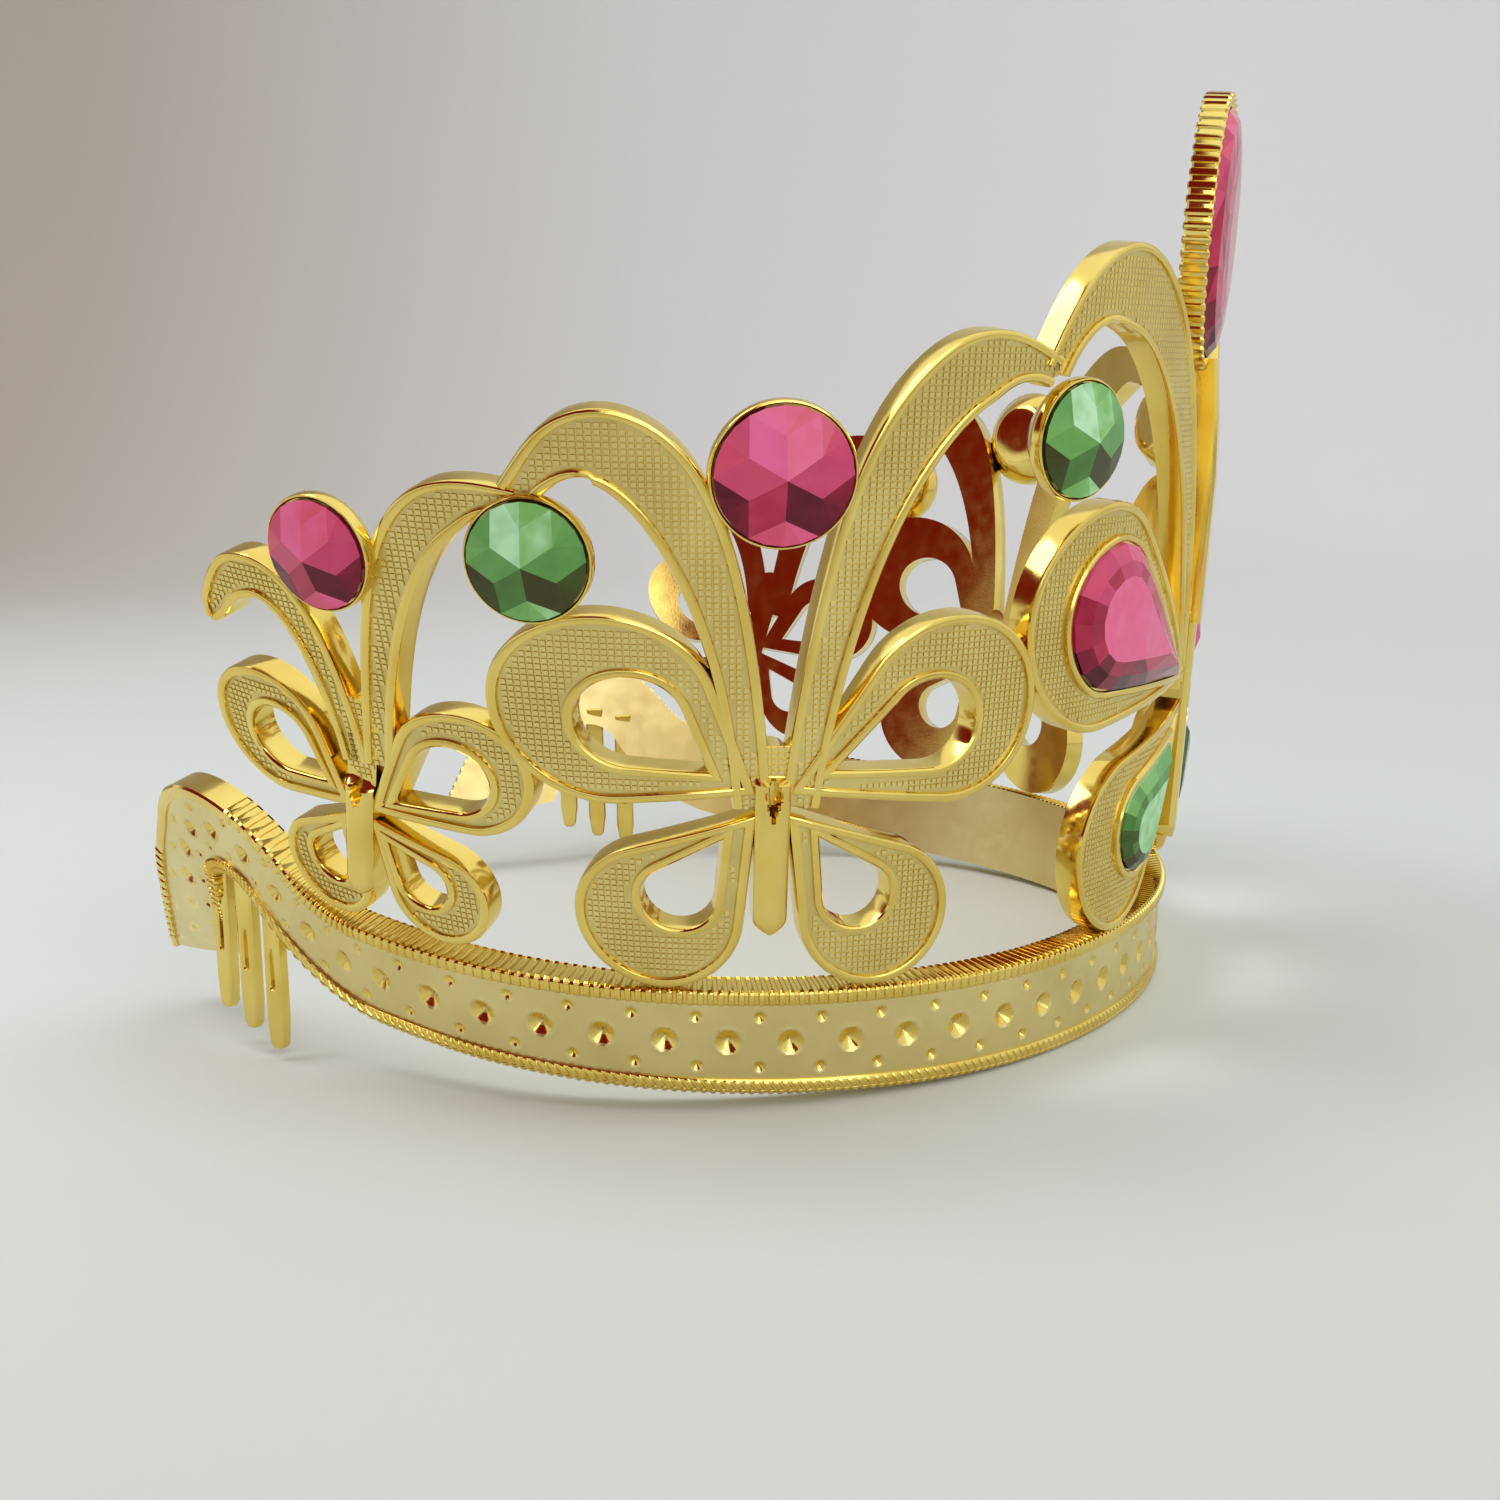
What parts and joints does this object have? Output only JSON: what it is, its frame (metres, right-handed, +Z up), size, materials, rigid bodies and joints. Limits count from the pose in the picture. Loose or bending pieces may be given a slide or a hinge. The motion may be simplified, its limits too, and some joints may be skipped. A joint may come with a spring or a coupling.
{
  "type": "tiara",
  "caption": "Gold-plated play tiara with butterfly wings, curling antennae, faceted pink and green stones and a hair comb at each rear end",
  "frame": {"origin": "under the middle of the tiara, on the surface it stands on", "axes": "+X to the wearer's left, -Y towards the front of the tiara, +Z up"},
  "size_m": [0.1732, 0.1363, 0.1159],
  "materials": {
    "gold_plated": "glossy vacuum-plated plastic, satin on the textured faces",
    "pink_stone": "polished facets",
    "green_stone": "polished facets"
  },
  "bodies": {
    "root": {"band": "gold_plated", "comb_right": "gold_plated", "comb_left": "gold_plated", "front_wings_right": "gold_plated", "front_wings_left": "gold_plated", "front_body": "gold_plated", "front_antenna_right": "gold_plated", "front_antenna_left": "gold_plated", "side_wings_right": "gold_plated", "side_wings_left": "gold_plated", "side_body_right": "gold_plated", "side_body_left": "gold_plated", "side_front_antenna_right": "gold_plated", "side_front_antenna_left": "gold_plated", "side_rear_antenna_right": "gold_plated", "side_rear_antenna_left": "gold_plated", "end_wings_right": "gold_plated", "end_wings_left": "gold_plated", "end_body_right": "gold_plated", "end_body_left": "gold_plated", "end_front_antenna_right": "gold_plated", "end_front_antenna_left": "gold_plated", "end_rear_antenna_right": "gold_plated", "end_rear_antenna_left": "gold_plated", "oval_setting": "gold_plated", "side_cup_right": "gold_plated", "side_cup_left": "gold_plated", "end_cup_right": "gold_plated", "end_cup_left": "gold_plated", "front_tip_cup_right": "gold_plated", "front_tip_cup_left": "gold_plated", "rear_tip_cup_right": "gold_plated", "rear_tip_cup_left": "gold_plated", "oval_stone": "pink_stone", "side_stone_right": "pink_stone", "side_stone_left": "pink_stone", "end_stone_right": "pink_stone", "end_stone_left": "pink_stone", "front_tip_stone_right": "green_stone", "front_tip_stone_left": "green_stone", "rear_tip_stone_right": "green_stone", "rear_tip_stone_left": "green_stone", "upper_drop_stone_right": "pink_stone", "upper_drop_stone_left": "pink_stone", "lower_drop_stone_right": "green_stone", "lower_drop_stone_left": "green_stone"}
  },
  "joints": []
}
